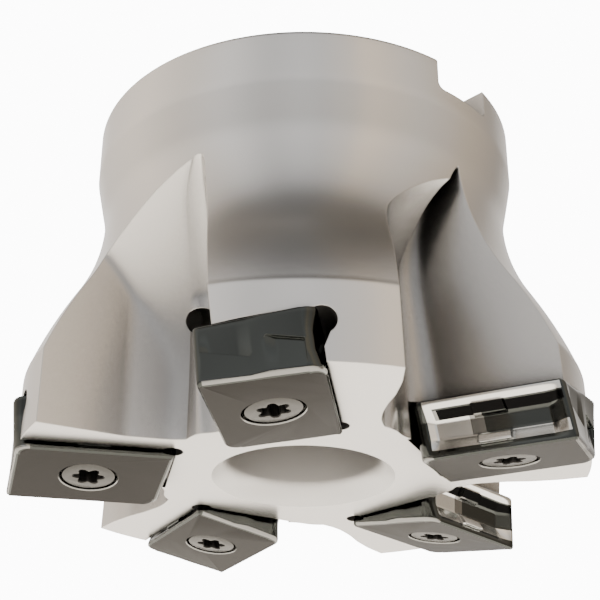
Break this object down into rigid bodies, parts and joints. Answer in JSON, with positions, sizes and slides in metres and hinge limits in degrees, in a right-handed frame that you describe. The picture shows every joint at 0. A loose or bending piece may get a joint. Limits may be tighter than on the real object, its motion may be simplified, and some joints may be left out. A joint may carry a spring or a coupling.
{
  "type": "face mill",
  "caption": "Arbor-mounted face mill with a waisted steel body, spiral-fluted gullets, a keyed rear face and screw-clamped tangential carbide inserts.",
  "frame": {"origin": "on the spindle axis, level with the lowest cutting corners", "axes": "+Z along the spindle axis towards the arbor, +X through the middle of one of the two drive slots"},
  "size_m": [0.0728, 0.0713, 0.0508],
  "materials": {
    "body_steel": "satin, bead-blasted nickel-plated steel",
    "carbide": "dark coated carbide, smooth satin",
    "screw_steel": "semi-bright steel"
  },
  "bodies": {
    "cutter": {"cutter_body": "body_steel"},
    "tooth_insert_1": {"insert_1": "carbide"},
    "clamp_screw_1": {"insert_screw_1": "screw_steel"},
    "tooth_insert_2": {"insert_2": "carbide"},
    "clamp_screw_2": {"insert_screw_2": "screw_steel"},
    "tooth_insert_3": {"insert_3": "carbide"},
    "clamp_screw_3": {"insert_screw_3": "screw_steel"},
    "tooth_insert_4": {"insert_4": "carbide"},
    "clamp_screw_4": {"insert_screw_4": "screw_steel"},
    "tooth_insert_5": {"insert_5": "carbide"},
    "clamp_screw_5": {"insert_screw_5": "screw_steel"}
  },
  "joints": [
    {"name": "insert_lift_1", "type": "slide", "parent": "cutter", "child": "tooth_insert_1", "axis": [-0.0439, 0.1247, -0.9912], "range_m": [0, 0.012]},
    {"name": "screw_turn_1", "type": "hinge", "parent": "tooth_insert_1", "child": "clamp_screw_1", "pos_m": [0.02518, 0.00887, 0.00084], "axis": [-0.0439, 0.1247, -0.9912], "range_deg": [0, 5420]},
    {"name": "insert_lift_2", "type": "slide", "parent": "cutter", "child": "tooth_insert_2", "axis": [-0.1322, -0.0032, -0.9912], "range_m": [0, 0.012]},
    {"name": "screw_turn_2", "type": "hinge", "parent": "tooth_insert_2", "child": "clamp_screw_2", "pos_m": [-0.00065, 0.02669, 0.00084], "axis": [-0.1322, -0.0032, -0.9912], "range_deg": [0, 5420]},
    {"name": "insert_lift_3", "type": "slide", "parent": "cutter", "child": "tooth_insert_3", "axis": [-0.0378, -0.1267, -0.9912], "range_m": [0, 0.012]},
    {"name": "screw_turn_3", "type": "hinge", "parent": "tooth_insert_3", "child": "clamp_screw_3", "pos_m": [-0.02559, 0.00763, 0.00084], "axis": [-0.0378, -0.1267, -0.9912], "range_deg": [0, 5420]},
    {"name": "insert_lift_4", "type": "slide", "parent": "cutter", "child": "tooth_insert_4", "axis": [0.1089, -0.0751, -0.9912], "range_m": [0, 0.012]},
    {"name": "screw_turn_4", "type": "hinge", "parent": "tooth_insert_4", "child": "clamp_screw_4", "pos_m": [-0.01516, -0.02198, 0.00084], "axis": [0.1089, -0.0751, -0.9912], "range_deg": [0, 5420]},
    {"name": "insert_lift_5", "type": "slide", "parent": "cutter", "child": "tooth_insert_5", "axis": [0.1051, 0.0803, -0.9912], "range_m": [0, 0.012]},
    {"name": "screw_turn_5", "type": "hinge", "parent": "tooth_insert_5", "child": "clamp_screw_5", "pos_m": [0.01622, -0.02121, 0.00084], "axis": [0.1051, 0.0803, -0.9912], "range_deg": [0, 5420]}
  ],
  "couplings": [
    {"joint": "screw_turn_1", "follows": "insert_lift_1", "rad_per_m": 7854},
    {"joint": "screw_turn_2", "follows": "insert_lift_2", "rad_per_m": 7854},
    {"joint": "screw_turn_3", "follows": "insert_lift_3", "rad_per_m": 7854},
    {"joint": "screw_turn_4", "follows": "insert_lift_4", "rad_per_m": 7854},
    {"joint": "screw_turn_5", "follows": "insert_lift_5", "rad_per_m": 7854}
  ]
}
